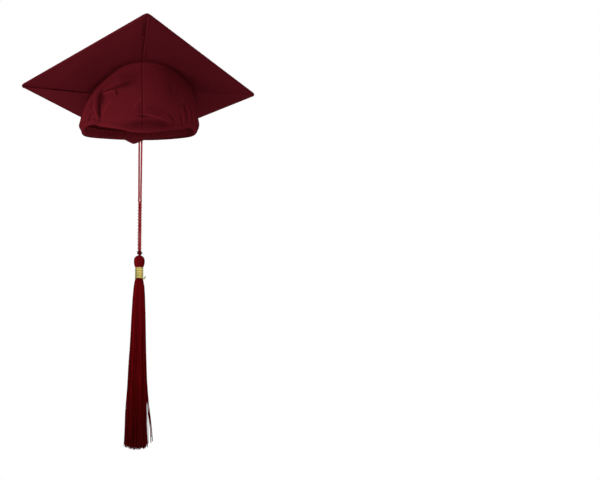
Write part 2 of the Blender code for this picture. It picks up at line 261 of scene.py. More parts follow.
def silky(name, sheen, spread, tint):
    """A finish whose gloss is only the sheen of its fibres."""
    tint = (*tint, 1.0)
    return Finish(name, Sheen_Weight=sheen, Sheen_Roughness=spread, Sheen_Tint=tint, Specular_IOR_Level=0.0)


def plain_weave(finish, u, v, thread):
    """Height of a plain weave, 0 to 1: warp and weft pass over each other by turns."""
    warp = finish.math("SINE", finish.product(u, math.pi / thread))
    weft = finish.math("SINE", finish.product(v, math.pi / thread))
    over = finish.math("GREATER_THAN", finish.product(warp, weft), 0.0)
    first = finish.product(finish.math("ABSOLUTE", warp), over)
    second = finish.product(finish.math("ABSOLUTE", weft), finish.math("SUBTRACT", 1.0, over))
    return finish.math("ADD", first, second)


def cloth_finish(name, colour, round_wall, thread=0.00045, mottle=0.05, tone=1.0):
    """A matte woven cloth: threads, slubs, faint mottling, lint, and the painted shade and light stored at its
    points; tone paints the whole cloth lighter or darker.
    """
    finish = silky(name, 0.05, 0.5, (0.9, 0.08, 0.11))
    x, y, z = finish.axes()
    if round_wall:
        forward = finish.product(y, -1.0)
        u = finish.product(finish.math("ARCTAN2", x, forward), WALL_RADIUS)
        v = z
    else:
        u = finish.product(finish.math("ADD", x, y), math.sqrt(0.5))
        v = finish.product(finish.math("SUBTRACT", x, y), math.sqrt(0.5))
    weave = plain_weave(finish, u, v, thread)
    along, across = finish.product(u, 1800.0), finish.product(v, 90.0)
    slub = finish.noise(1.0, 1.0, finish.node_out("ShaderNodeCombineXYZ", along, across, 0.0)[0])
    cloud = finish.noise(38.0, 3.0)
    lint = finish.math("GREATER_THAN", finish.noise(620.0, 1.0), 0.74)
    factor = finish.product(
        finish.around(weave, 0.10),
        finish.around(slub, 0.10),
        finish.around(cloud, mottle),
        finish.shaded(tone, 0.15),
    )
    base = finish.scaled(colour, factor)
    pale = tuple(min(1.0, c * 2.2 + 0.002) for c in colour)
    finish.colour(finish.mixed(finish.product(lint, 0.25), base, pale))
    finish.roughness(slub, 0.14, 0.74)
    finish.bump(weave, 0.00012, 0.55)
    finish.bump(cloud, 0.0006, 0.35)
    return finish.material


def yarn_finish(name, colour, low_colour, z_low, z_high):
    """Rayon yarn: silky, streaked along its length, and darker towards its lower end, painted shade for the
    light falling off down the yarn.
    """
    finish = silky(name, 0.04, 0.4, (1.0, 0.06, 0.07))
    z = finish.axes()[2]
    span = finish.math("DIVIDE", finish.math("SUBTRACT", z, z_low), z_high - z_low)
    streak = finish.noise(1.0, 2.0, finish.stretched((2600.0, 2600.0, 60.0)))
    broad = finish.noise(1.0, 1.0, finish.stretched((420.0, 420.0, 9.0)))
    factor = finish.product(
        finish.around(streak, 0.30),
        finish.around(broad, 0.28),
        finish.shaded(1.0, 0.12),
    )
    tone = finish.mixed(finish.clamped(span), low_colour, colour)
    finish.colour(finish.scaled(tone, factor))
    finish.roughness(streak, 0.2, 0.42)
    finish.bump(streak, 0.0002, 0.5)
    return finish.material


def cord_finish(name, dark, light):
    """Twisted rayon cord: painted shade between the strands and a painted pinkish highlight where they face out.
    """
    finish = silky(name, 0.05, 0.35, (1.0, 0.15, 0.18))
    spots = finish.noise(900.0, 2.0)
    patches = finish.noise(210.0, 1.0)
    height = finish.math("MULTIPLY_ADD", finish.shade(), 0.85, 0.5)
    height = finish.product(height, finish.around(patches, 0.55), finish.around(spots, 0.35))
    finish.colour(finish.mixed(finish.clamped(height), dark, light))
    finish.roughness(spots, 0.2, 0.36)
    finish.bump(spots, 0.00015, 0.5)
    return finish.material


def gold_finish(name):
    finish = Finish(name, Metallic=0.45, Specular_IOR_Level=0.5)
    glints = finish.noise(1.0, 2.0, finish.stretched((500.0, 500.0, 2600.0)))
    tone = finish.mixed(glints, (0.36, 0.26, 0.030), (0.76, 0.66, 0.24))
    finish.colour(finish.scaled(tone, finish.shaded(1.0, 0.1)))
    finish.roughness(glints, 0.2, 0.28)
    finish.bump(glints, 0.0001, 0.5)
    return finish.material


def card_finish():
    finish = Finish("board_card", Specular_IOR_Level=0.2)
    fibre = finish.noise(1.0, 3.0, finish.stretched((900.0, 240.0, 900.0)))
    speck = finish.math("GREATER_THAN", finish.noise(500.0, 2.0), 0.68)
    base = finish.mixed(fibre, (0.24, 0.17, 0.10), (0.38, 0.29, 0.19))
    finish.colour(finish.mixed(finish.product(speck, 0.5), base, (0.14, 0.09, 0.05)))
    finish.roughness(fibre, 0.1, 0.84)
    finish.bump(fibre, 0.0001, 0.6)
    return finish.material


def felt_finish():
    finish = Finish("interfacing", Specular_IOR_Level=0.2)
    fibre = finish.noise(1400.0, 4.0)
    finish.colour(finish.mixed(fibre, (0.46, 0.43, 0.39), (0.66, 0.63, 0.58)))
    finish.roughness(fibre, 0.1, 0.86)
    finish.bump(fibre, 0.0002, 0.6)
    return finish.material


def elastic_finish():
    finish = Finish("elastic", Specular_IOR_Level=0.3)
    z = finish.axes()[2]
    rib = finish.math("SINE", finish.product(z, 2 * math.pi / 0.0011))
    rib = finish.math("MULTIPLY_ADD", rib, 0.5, 0.5)
    fuzz = finish.noise(1200.0, 2.0)
    base = finish.mixed(rib, (0.42, 0.40, 0.37), (0.68, 0.66, 0.62))
    finish.colour(finish.scaled(base, finish.around(fuzz, 0.12)))
    finish.roughness(fuzz, 0.15, 0.62)
    finish.bump(rib, 0.0002, 0.8)
    return finish.material


def steel_finish():
    finish = Finish("tinned_steel", Metallic=1.0)
    scratch = finish.noise(1.0, 2.0, finish.stretched((3000.0, 220.0, 900.0)))
    stain = finish.noise(260.0, 3.0)
    finish.colour(finish.mixed(stain, (0.42, 0.41, 0.39), (0.66, 0.66, 0.64)))
    finish.roughness(scratch, 0.25, 0.24)
    finish.bump(scratch, 0.00005, 0.5)
    return finish.material


def dress(material, *names):
    """Gives that material to pieces kept as they are in the CAD."""
    for name in names:
        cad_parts[name].data.materials.clear()
        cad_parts[name].data.materials.append(material)


BOARD_RED = (0.082, 0.0062, 0.0100)
# The lining's red is painted lighter than the cloth's own, standing in for light inside the cap
LINING_RED_PAINTED_LIT = (0.150, 0.0125, 0.0190)
SKULL = cloth_finish("skull_cloth", (0.108, 0.0075, 0.0120), True)
# The skull cloth again, painted about twice as light for the inside of the cap: painted light standing in for
# light that reaches too little inside
SKULL_INSIDE_PAINTED_LIT = cloth_finish("skull_cloth_inside", (0.230, 0.0200, 0.0290), True, mottle=0.03)
LINING = cloth_finish("lining_cloth", LINING_RED_PAINTED_LIT, True, thread=0.0004)
CROWN = cloth_finish("crown_lining_cloth", LINING_RED_PAINTED_LIT, False, thread=0.0004)
BOARD = cloth_finish("board_cloth", BOARD_RED, False)
BUTTON = cloth_finish("button_cloth", (0.098, 0.0072, 0.0112), False, thread=0.0004)
THREAD = cord_finish("stitch_thread", (0.030, 0.002, 0.004), (0.120, 0.012, 0.018))
CORD_RED = cord_finish("cord_red", (0.090, 0.0010, 0.0024), (0.500, 0.034, 0.044))
# A darker copy of the cord's colours: painted shade on the tight knot, which is tied in the same cord
KNOT_RED_PAINTED_SHADE = cord_finish("knot_red", (0.012, 0.001, 0.0015), (0.150, 0.006, 0.010))
YARN = yarn_finish("yarn_red", (0.190, 0.0036, 0.0058), (0.066, 0.0020, 0.0024), FRINGE_END, BAND_BOTTOM)
HEAD_YARN = yarn_finish("head_yarn_red", (0.190, 0.0050, 0.0080), (0.150, 0.0040, 0.0060), BAND_TOP, HEAD_TOP)
GOLD = gold_finish("gold_thread")


# Mesh tools


class Surface:
    """Grids of points gathered into one mesh, with a shade at each, which holds painted shade and light as well
    as the thing's own tone: below 0 is darker, above 0 lighter.
    """

    def __init__(self):
        self.points, self.shades, self.faces, self.count = [], [], [], 0

    def grid(self, points, shade=0.0, around=False, closed=False, caps=False):
        rows, columns = points.shape[:2]
        index = self.count + np.arange(rows * columns).reshape(rows, columns)
        if caps:
            self.faces += [index[0, ::-1].tolist(), index[-1].tolist()]
        if around:
            index = np.concatenate([index, index[:, :1]], axis=1)
        if closed:
            index = np.concatenate([index, index[:1]], axis=0)
        corners = [index[:-1, :-1], index[:-1, 1:], index[1:, 1:], index[1:, :-1]]
        self.faces += np.stack(corners, axis=-1).reshape(-1, 4).tolist()
        self.points.append(points.reshape(-1, 3))
        self.shades.append(np.broadcast_to(shade, (rows, columns)).reshape(-1))
        self.count += rows * columns

    def doubled(self, low, thick, shade, **ends):
        """A sheet of that thickness whose underside has the points in low."""
        points = np.concatenate([low, (low + np.array((0, 0, thick)))[:, ::-1]], axis=1)
        self.grid(points, np.concatenate([shade, shade[:, ::-1]], axis=1), around=True, **ends)

    def tube(self, path, radius, sides, shade):
        """A tube with closed ends."""
        radius = np.broadcast_to(radius, (len(path),))[:, None, None]
        rings = round_line(*frames(path), circle(sides)[None, :])
        self.grid(path[:, None] + radius * rings, shade, around=True, caps=True)

    def finish(self, name, material, slot=None, body="cap", replaces=()):
        mesh = bpy.data.meshes.new(name)
        mesh.from_pydata(np.concatenate(self.points).tolist(), [], self.faces)
        shades = mesh.attributes.new("shade", "FLOAT", "POINT")
        shades.data.foreach_set("value", np.concatenate(self.shades).astype(np.float32))
        bm = bmesh.new()
        bm.from_mesh(mesh)
        bmesh.ops.recalc_face_normals(bm, faces=bm.faces)
        bm.to_mesh(mesh)
        bm.free()
        mesh.shade_smooth()
        mesh.materials.append(material)
        obj = new_object(name, mesh)
        if replaces:
            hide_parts(*replaces)
        if body:
            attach(obj, body)
        return obj


def unit(vectors):
    return vectors / np.maximum(np.linalg.norm(vectors, axis=-1, keepdims=True), 1e-12)


def frames(path):
    """Two directions square to the path at each point, carried along it without twist."""
    tangents = unit(np.gradient(path, axis=0))
    start = np.array((1.0, 0, 0)) if abs(tangents[0][0]) < 0.8 else np.array((0, 1.0, 0))
    normals = [unit(start - tangents[0] * (start @ tangents[0]))]
    for tangent in tangents[1:]:
        normals.append(unit(normals[-1] - tangent * (normals[-1] @ tangent)))
    normals = np.array(normals)
    return normals, np.cross(tangents, normals)


def round_line(normals, binormals, angle):
    """At each point of a line, the direction outwards at each angle round it."""
    return np.cos(angle)[..., None] * normals[:, None] + np.sin(angle)[..., None] * binormals[:, None]


def distances(path):
    """How far along the path each of its points is."""
    return np.concatenate([[0], np.cumsum(np.linalg.norm(np.diff(path, axis=0), axis=1))])


def curve_through(points, spacing):
    """Evenly spaced points on the Catmull-Rom curve through these."""
    points = np.array(points, float)
    ends = np.concatenate([[2 * points[0] - points[1]], points, [2 * points[-1] - points[-2]]])
    t = np.linspace(0, 1, 24, endpoint=False)[:, None]
    dense = []
    for a, b, c, d in zip(ends, ends[1:], ends[2:], ends[3:]):
        bend, twist = 2 * a - 5 * b + 4 * c - d, 3 * b - a - 3 * c + d
        dense.append(0.5 * (2 * b + (c - a) * t + bend * t**2 + twist * t**3))
    dense = np.concatenate([*dense, points[-1:]])
    far = distances(dense)
    steps = np.linspace(0, far[-1], max(2, round(far[-1] / spacing) + 1))
    return np.stack([np.interp(steps, far, dense[:, k]) for k in range(3)], axis=1)


PLY_SHARE = 0.36  # a ply's radius, as a share of the whole cord's thickness


def twisted(surface, path, thick, pitch, phase=0.0, sides=12, tone=0.0):
    """Two plies laid round the path, with painted shade where they meet and painted light on their outsides;
    tone is added to that painted shade. phase is a distance along it.
    """
    normals, binormals = frames(path)
    far = phase + distances(path)
    ply = thick * PLY_SHARE
    for start in (0, math.pi):
        angle = 2 * math.pi * far / pitch + start
        away = np.cos(angle)[:, None] * normals + np.sin(angle)[:, None] * binormals
        line = path + (thick / 2 - ply) * away
        around = circle(sides)[None, :]
        ripple = np.cos(4 * around - 2 * angle[:, None])
        out = round_line(*frames(line), around)
        facing = (out * away[:, None]).sum(-1)
        radius = ply * (1 + 0.08 * ripple)
        shade = 0.75 * facing - 0.20 + 0.15 * ripple + np.reshape(tone, (-1, 1))
        surface.grid(line[:, None] + radius[..., None] * out, shade, around=True, caps=True)


# The cords, which hang from the button's shank over the board's back corner


def on_loop(x, y, z):
    """A point from its place across the loop, away from the button, and in height."""
    turned_x = x * math.cos(TASSEL_ANGLE) + y * math.sin(TASSEL_ANGLE)
    turned_y = y * math.cos(TASSEL_ANGLE) - x * math.sin(TASSEL_ANGLE)
    return turned_x, turned_y, z


TASSEL_AXIS = np.array(on_loop(0, HANG_RADIUS, 0))
LEG_TWIST_TOP = -0.022
LEG_TWIST_PITCH = 0.0109
LEG_TWIST_RADIUS = 0.00190
PLY_PITCH = 0.0082
CORD_STEP = 0.0007
BOARD_END = HANG_RADIUS - BEND_RADIUS
LEG_START = BOARD_END + 0.0015


def leg_points():
    """One leg down to the knot: its place across, away from the button, and in height from the loop's."""
    points = []
    for step in range(1, 6):
        angle = 0.5 * math.pi * step / 5
        away = BOARD_END + BEND_RADIUS * math.sin(angle)
        points.append((CORD_SPREAD, away, -BEND_RADIUS * (1 - math.cos(angle))))
    for height in (0.063, 0.040, 0.018, 0.0, -0.014):
        share = (height - LEG_TWIST_TOP) / (SWING_HEIGHT - LEG_TWIST_TOP)
        points.append((0.0016 + 0.0005 * share, HANG_RADIUS, height - CORD_HEIGHT))
    height = LEG_TWIST_TOP
    while height > KNOT_TOP:
        angle = 2 * math.pi * (LEG_TWIST_TOP - height) / LEG_TWIST_PITCH
        across, away = LEG_TWIST_RADIUS * math.cos(angle), LEG_TWIST_RADIUS * math.sin(angle)
        points.append((across, HANG_RADIUS + away, height - CORD_HEIGHT))
        height -= LEG_TWIST_PITCH / 10
    return points + [(0.0008, HANG_RADIUS, KNOT_TOP - 0.0015 - CORD_HEIGHT)]


def cord_path():
    """The whole cord: up the left leg, over the board, round the shank and down the right leg."""
    half = [(CORD_SPREAD, BOARD_END, 0), (0.0023, 0.120, 0), (0.0029, 0.060, 0)]
    half += [(0.0042, 0.024, 0), (0.0060, 0.008, 0), (0.0050, -0.0035, 0)]
    flat = half + [(0, -0.0068, 0)] + [(-x, y, z) for x, y, z in reversed(half)]
    left = leg_points()
    right = [(-x, 2 * HANG_RADIUS - y if z < -BEND_RADIUS else y, z) for x, y, z in left]
    whole = [on_loop(x, y, CORD_HEIGHT + z) for x, y, z in left[::-1] + flat + right]
    return curve_through(whole, CORD_STEP)


def make_cords():
    path = cord_path()
    beyond = path @ np.array((math.sin(TASSEL_ANGLE), math.cos(TASSEL_ANGLE), 0))
    first = int(np.argmax(beyond < LEG_START))
    middle = len(path) // 2
    last = middle + int(np.argmax(beyond[middle:] > LEG_START))
    pieces = {}
    for name, a, b in (
        ("cord_leg_left", 0, first + 1),
        ("cord_loop", first, last + 1),
        ("cord_leg_right", last, len(path)),
    ):
        surface = Surface()
        below = LEG_TWIST_TOP - path[a:b, 2]
        # Painted light and shade that alternate down the twisted legs: light where they lie side by side, shade
        # where one passes in front of the other
        leg_light_and_shade = 0.62 * np.cos(4 * math.pi * below / LEG_TWIST_PITCH) * smooth(below / 0.01)
        twisted(surface, path[a:b], CORD_OVER_PLIES, PLY_PITCH, phase=a * CORD_STEP, tone=leg_light_and_shade)
        pieces[name] = surface.finish(name, CORD_RED, "cord_red", body=None), path[a:b]
    loop, route = pieces["cord_loop"]
    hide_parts("tassel_loop_cord")
    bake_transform(loop)
    knot = make_knot()
    for side in ("left", "right"):
        leg, route = pieces["cord_leg_" + side]
        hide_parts("cord_bend_" + side, "cord_drop_" + side)
        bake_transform(leg)
        route = route[::-1] if side == "left" else route


def make_knot():
    """Two and a half tight wraps round both legs, with the cord's cut end left out at the side."""
    surface = Surface()

    def strand(points, step, thick, pitch):
        twisted(surface, curve_through([TASSEL_AXIS + p for p in points], step), thick, pitch)

    wraps = []
    for step in range(61):
        share = step / 60
        angle = 2 * math.pi * 2.4 * share - 0.4
        radius = 0.0029 * (0.45 + 0.55 * math.sin(math.pi * min(1, max(0, share * 1.02))) ** 0.4)
        height = KNOT_MIDDLE + 0.0034 - 0.0068 * share
        wraps.append((radius * math.cos(angle), radius * math.sin(angle), height))
    strand(wraps, 0.0005, 0.0027, 0.006)
    core = [(0, 0, KNOT_TOP + 0.002), (0.0002, 0, KNOT_MIDDLE), (0, 0, HEAD_TOP - 0.001)]
    strand(core, 0.0005, 0.0040, 0.012)
    end = [(0.0018, 0, 0.001), (0.0036, -0.0008, 0.0004), (0.0044, -0.001, -0.0012)]
    strand([(x, y, KNOT_MIDDLE + z) for x, y, z in end], 0.0004, 0.0019, 0.005)
    return surface.finish("knot", KNOT_RED_PAINTED_SHADE, "cord_red", "tassel_knot", ["loop_knot"])


make_cords()


# The tassel


def round_tassel(away, turn, heights):
    """Points that far from the tassel's own axis, at those heights."""
    return TASSEL_AXIS + polar(away, turn, heights)


def profile(points, heights):
    """The radius at each height, from (height, radius) pairs that run downwards."""
    table = np.array(points[::-1])
    return np.interp(heights, table[:, 0], table[:, 1])


HEAD_PROFILE = [
    (HEAD_TOP + up, away)
    for up, away in (
        (0.0004, 0.0012), (-0.0006, 0.0034), (-0.0018, 0.0056), (-0.0040, 0.0073), (-0.0072, 0.0082),
        (-0.0105, 0.0083), (-0.0150, 0.0077), (-0.0185, 0.0063), (BAND_TOP - 0.0010 - HEAD_TOP, 0.0048),
    )
]


def make_head():
    """A dome of yarns, bunched at the knot and drawn in under the band, over a core of the same yarn."""
    surface = Surface()
    rng = random.Random(11)
    dome = np.linspace(HEAD_TOP + 0.0004, HEAD_TOP - 0.004, 10)
    heights = np.concatenate([dome, np.linspace(HEAD_TOP - 0.0055, BAND_TOP - 0.001, 14)])
    share = np.linspace(0, 1, len(heights))
    radii = profile(HEAD_PROFILE, heights)
    thick = np.interp(radii, [0.0012, 0.0083], [0.00022, 0.00048])
    core = round_tassel(radii[:, None] - 0.0004, circle(40), heights[:, None] - 0.0002)
    # The core, seen between the yarns, is painted in shade
    surface.grid(core, -0.45, around=True, caps=True)
    yarns = 74
    for k in range(yarns):
        start = 2 * math.pi * (k + rng.uniform(-0.3, 0.3)) / yarns
        lean = rng.uniform(-0.10, 0.16)
        raised = rng.uniform(-0.00022, 0.00022)
        wave = rng.uniform(0, 2 * math.pi)
        angle = start + lean * share + 0.03 * np.sin(5 * share + wave)
        surface.tube(round_tassel(radii + raised, angle, heights), thick, 6, rng.uniform(-0.22, 0.18))
    surface.finish("head_of_yarns", HEAD_YARN, "yarn_red", "tassel", ["tassel_head"])


FRINGE_PROFILE = [
    (BAND_BOTTOM + up, away)
    for up, away in (
        (0.0030, 0.0050), (-0.0005, 0.0060), (-0.0045, 0.0072), (-0.0120, 0.0082), (-0.0300, 0.0095),
        (-0.0600, 0.0108), (-0.1150, 0.0125), (-0.1600, 0.0143), (-0.2050, 0.0160),
        (FRINGE_END - BAND_BOTTOM, 0.0172),
    )
]


FRINGE_LEAN = 0.0022  # how far to the wearer's right the fringe's end hangs


def make_fringe():
    """Each yarn keeps its place in the bundle from the band down, wanders a little, and ends unevenly."""
    surface = Surface()
    rng = random.Random(23)
    top = BAND_BOTTOM + 0.0030
    golden = math.pi * (3 - math.sqrt(5))
    yarns = 400

    def fallen(heights):
        return (top - heights) / (top - FRINGE_END)

    for k in range(yarns):
        place = math.sqrt((k + 0.5) / yarns)
        turn = k * golden
        stray = k > yarns * 0.8 and rng.random() < 0.05
        end = FRINGE_END - 0.0035 + 0.004 * place**2 + rng.uniform(-0.001, 0.006)
        if rng.random() < 0.08:
            end += rng.uniform(0, 0.02)
        heights = np.linspace(top, end, 34)
        share = fallen(heights)
        radius = profile(FRINGE_PROFILE, heights) * place * (1 + rng.uniform(-0.10, 0.10) * share)
        angle = turn + rng.uniform(-0.25, 0.25) * share
        wave, count, size = rng.uniform(0, 6.3), rng.uniform(2, 5), rng.uniform(0.0001, 0.0007)
        swirl = count * 2 * math.pi * share + wave
        x = radius * np.cos(angle) + size * share * np.sin(swirl) - FRINGE_LEAN * share
        y = radius * np.sin(angle) + size * share * np.cos(swirl)
        if stray:
            x = x + rng.uniform(0.001, 0.004) * smooth((share - 0.5) * 2) * np.sign(np.cos(turn))
        thick = rng.uniform(0.00042, 0.00058) * np.interp(share, [0, 0.08, 1], [0.55, 0.9, 1.0])
        # Each yarn's tone varies at random, and yarns nearer the middle of the bundle are painted in shade
        tone = rng.uniform(-0.38, 0.22) - 0.15 * (1 - place)
        surface.tube(TASSEL_AXIS + np.stack([x, y, heights], axis=1), thick, 5, tone)
    # Three loose yarns beside the bundle: how far out each goes, where that starts, and its end
    for reach, start, end in ((0.0075, 0.62, -0.402), (0.0060, 0.70, -0.396), (0.0052, 0.55, -0.404)):
        heights = np.linspace(BAND_BOTTOM - 0.01, end, 40)
        share = fallen(heights)
        x = profile(FRINGE_PROFILE, heights) * 0.98 + reach * smooth((share - start) / (1 - start))
        path = np.stack([x - FRINGE_LEAN * share, 0 * x - 0.002, heights], axis=1)
        surface.tube(TASSEL_AXIS + path, 0.0007, 5, 0.10)
    surface.finish("fringe", YARN, "yarn_red", "tassel", ["tassel_fringe"])


def make_band():
    """Gold thread wound round and round over the neck, its last turn proud and its end left loose."""
    surface = Surface()
    turns, steps = 19, 44
    rng = random.Random(5)
    share = np.linspace(0, 1, turns * steps + 1)
    wound = turns * share
    angle = 2 * math.pi * wound
    bundle = np.cos(angle / 4.2)
    radius = 0.0061 + 0.00018 * bundle + 0.0004 * smooth((share - 0.945) / 0.02)
    heights = BAND_TOP - 0.0006 - (BAND_TOP - BAND_BOTTOM - 0.0012) * share
    tones = np.array([rng.uniform(-0.16, 0.14) for _ in range(turns + 1)])
    tone = np.interp(wound, np.arange(turns + 1), tones) + 0.30 * bundle - 0.26
    # A painted highlight on the front of the winding towards the wearer's left, and painted shade towards its
    # back on the wearer's right
    tone = tone + 0.55 * np.maximum(np.cos(angle + 1.15), 0) ** 3 - 0.12 * np.sin(angle - 1.2)
    surface.tube(round_tassel(radius, angle, heights), 0.00056, 8, tone[:, None])
    surface.finish("gold_winding", GOLD, "gold_thread", "tassel", ["gold_band"])

    tail = Surface()
    points = [(0.0060, -0.0016, 0.0006), (0.0073, -0.0020, 0.0001), (0.0085, -0.0020, 0.0010)]
    points += [(0.0094, -0.0018, 0.0028), (0.0098, -0.0016, 0.0044)]
    path = curve_through([TASSEL_AXIS + (x, y, BAND_BOTTOM + z) for x, y, z in points], 0.0004)
    twisted(tail, path, 0.0021, 0.0045, sides=8, tone=-0.42)
    tail.finish("gold_thread_end", GOLD, "gold_thread", "tassel", ["gold_band_tail"])


make_head()
make_fringe()
make_band()
dress(HEAD_YARN, "neck_tie")


# The skull cap


def rim_drop(turn):
    """How far the rim is below the board's underside."""
    forward = (1 + np.cos(turn)) / 2
    deep, wide = BROW_POINT
    return RIM_DROP_BACK + RIM_SLOPE * forward + deep * bump_at(np.radians(from_brow(turn)), 0.0, wide)


def from_brow(turn):
    """The turn from the brow, from -180 to 180 degrees; it is positive on the wearer's left."""
    return np.degrees(np.mod(turn + math.pi, 2 * math.pi) - math.pi)


LIFTS = [(0.0044, -51, 8.5), (0.0042, -66, 10), (0.0050, 54, 11), (0.0034, 78, 14)]
LIFTS += [(0.0019, 136, 30), (0.0012, 180, 30), (0.0012, -180, 30), (-0.0022, -118, 24)]
PINCHES = [(0.0042, -86, 24), (0.0032, 94, 26)]


def rim_lift(turn):
    """Where the elastic draws the hem up, near the ends of the stiffened brow and at the back."""
    return bumps(from_brow(turn), LIFTS)


def hem_pinch(turn, up):
    """How far the elastic draws the hem in under the fuller cloth above it."""
    return bumps(from_brow(turn), PINCHES) * (1 - smooth(up / 0.016))


# Folds: (height out of the cloth in mm, width at its start and its end in mm, shade,
# [(degrees from the brow, mm above the rim)])
# The shade of each fold is painted: painted shade in its hollow below 0, a painted highlight on its ridge above
# 0
FOLDS = [
    (-2.2, (7.6, 1.6), -0.78, [(-52, 67), (-50, 58), (-48, 48), (-46, 37), (-44, 26), (-41.5, 15), (-41, 7)]),
    (-1.2, (4.2, 2.4), -0.42, [(-43, 57), (-41, 45), (-41.5, 34)]),
    (1.1, (2.2, 1.1), 0.56, [(-61, 62), (-55, 48), (-53, 37), (-49, 25), (-45, 14), (-43, 9)]),
    (1.5, (2.8, 1.3), 0.26, [(-29, 51), (-33, 38), (-37, 24), (-39, 9)]),
    (1.4, (1.6, 1.5), 0.24, [(-45, 57), (-37, 59.5), (-28, 63)]),
    (-2.1, (2.6, 6.0), -0.46, [(-44, 62), (-34, 66), (-28, 69.5), (-20, 74), (-8, 82)]),
    (-0.6, (9.0, 13.0), -0.26, [(-26, 86), (-14, 90), (-2, 90)]),
    (-1.2, (1.5, 1.1), -0.50, [(-26, 65), (-25, 59), (-24, 53)]),
    (0.6, (1.3, 1.1), 0.18, [(-29, 63), (-27, 55)]),
    (0.9, (6.0, 4.5), 0.36, [(-38, 102), (-52, 87), (-59, 69), (-68, 54), (-71, 40), (-70, 14)]),
    (0.9, (1.3, 1.2), 0.18, [(-67, 52), (-63, 26)]),
    (-0.9, (1.6, 1.3), -0.26, [(-60, 44), (-58, 26)]),
    (-1.5, (1.6, 2.1), -0.56, [(-53, 23), (-57, 14), (-59, 6)]),
    (-0.8, (0.8, 0.8), -0.40, [(-47, 2), (-48, 11)]),
    (0.9, (0.9, 0.9), 0.22, [(-50, 3), (-50, 15)]),
    (-0.8, (0.8, 0.8), -0.38, [(-43, 3), (-43, 11)]),
    (0.8, (0.9, 0.9), 0.20, [(-45.5, 4), (-45, 12)]),
    (1.0, (2.2, 1.8), 0.17, [(0, 55), (-4, 46), (-8, 36)]),
    (-0.6, (2.6, 4.5), -0.20, [(-1, 43), (-2, 34), (-1, 28)]),
    (-0.6, (6.0, 8.0), -0.14, [(4, 41), (12, 33), (24, 27)]),
    (-0.7, (1.2, 1.2), -0.50, [(-6, 23.5), (0, 24.5), (6, 23.5)]),
    (-0.5, (2.6, 2.6), -0.30, [(-1, 25), (1, 25)]),
    (1.0, (1.5, 1.3), 0.14, [(-15, 15), (-8, 20), (-2, 27), (6, 27), (12, 23), (19, 17), (29, 9)]),
    (-0.8, (5.5, 6.0), -0.42, [(-14, 9), (-5, 13), (5, 15), (15, 12), (27, 7)]),
    (-0.3, (5.0, 5.0), -0.20, [(-26, 4), (-10, 5), (6, 5), (34, 4)]),
    (-1.1, (1.8, 1.3), -0.34, [(24, 25), (31, 11)]),
    (1.0, (1.6, 1.6), 0.14, [(38, 71), (42, 50), (44, 38)]),
    (-1.5, (1.7, 1.4), -0.44, [(43, 44), (45, 27), (47, 8)]),
    (1.1, (1.4, 1.4), 0.18, [(47, 44), (50, 27), (51, 10)]),
    (-0.9, (1.0, 0.9), -0.38, [(37, 24), (38.5, 14), (39, 2)]),
    (0.8, (1.2, 1.0), 0.12, [(39, 30), (41, 16), (41, 5)]),
    (-0.7, (3.0, 3.4), -0.16, [(28, 74), (29, 58)]),
    (-1.2, (1.5, 1.3), -0.28, [(52, 44), (55, 26), (55, 6)]),
    (1.0, (1.5, 1.3), 0.12, [(56, 46), (59, 28), (60, 6)]),
    (-1.1, (1.4, 1.3), -0.24, [(62, 42), (65, 24), (66, 6)]),
    (1.1, (1.8, 1.5), 0.10, [(68, 44), (71, 26), (72, 8)]),
]


def make_gathers():
    """The turn, lean, length, width and height of each small fold where the elastic gathers the hem."""
    rng = random.Random(31)
    gathers = []
    for side in (1, -1):
        turn = 62.0
        while turn < 178:
            strength = float(smooth((turn - 55) / 22))
            lean, length = side * rng.uniform(-0.10, 0.16), rng.uniform(0.018, 0.046)
            width, raised = rng.uniform(0.0014, 0.0026), rng.uniform(0.0007, 0.0019) * strength
            gathers.append((side * turn, lean, length, width, raised))
            turn += rng.uniform(2.4, 4.4)
    return gathers


GATHERS = make_gathers()


def nearest(flat, line):
    """How far each point is from the line, and its share of the way along it."""
    near = np.full(flat.shape[:-1], np.inf)
    along = np.zeros_like(near)
    lengths = np.linalg.norm(np.diff(line, axis=0), axis=1)
    before = 0.0
    for a, b, length in zip(line, line[1:], lengths):
        t = np.clip(((flat - a) @ (b - a)) / length**2, 0, 1)
        away = np.linalg.norm(flat - a - t[..., None] * (b - a), axis=-1)
        closer = away < near
        near = np.where(closer, away, near)
        along = np.where(closer, (before + t * length) / lengths.sum(), along)
        before += length
    return near, along


